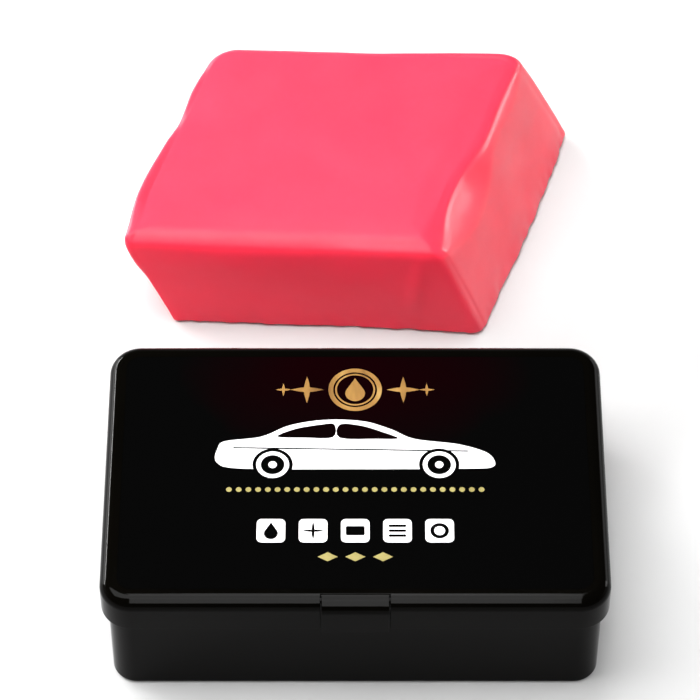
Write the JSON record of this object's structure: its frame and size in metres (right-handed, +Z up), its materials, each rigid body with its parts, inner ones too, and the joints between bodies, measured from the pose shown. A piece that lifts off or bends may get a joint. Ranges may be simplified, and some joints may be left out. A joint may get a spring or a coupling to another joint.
{
  "type": "clay bar",
  "caption": "Block of pink detailing clay for car paint, lying behind its closed hinged plastic storage case with a snap latch and a lid label.",
  "frame": {"origin": "centre of the closed case's underside, on the surface that the case and the clay stand on", "axes": "+Z up, -Y towards the case's front with the latch, +X to the right seen from the front"},
  "size_m": [0.096, 0.1454, 0.0293],
  "materials": {
    "shell_black": "glossy moulded black",
    "label_black": "glossy laminated print",
    "pin_steel": "plain drawn wire",
    "clay_pink": "satin putty"
  },
  "bodies": {
    "case": {"case_base": "shell_black", "hinge_pin_left": "pin_steel", "hinge_pin_right": "pin_steel"},
    "lid": {"case_lid": "shell_black", "lid_label": "label_black"},
    "latch": {"latch_tab": "shell_black"},
    "clay": {"clay_bar": "clay_pink"}
  },
  "joints": [
    {"name": "lid_hinge", "type": "hinge", "parent": "case", "child": "lid", "pos_m": [0, 0.0336, 0.0206], "axis": [-1, 0, 0], "range_deg": [0, 100]},
    {"name": "latch_flex", "type": "hinge", "parent": "lid", "child": "latch", "pos_m": [0, -0.0286, 0.0287], "axis": [-1, 0, 0], "range_deg": [0, 8], "stiffness_Nm_per_rad": 0.3},
    {"name": "clay_lift", "type": "slide", "parent": "case", "child": "clay", "axis": [0, 0, 1], "range_m": [0, 0.05]}
  ]
}
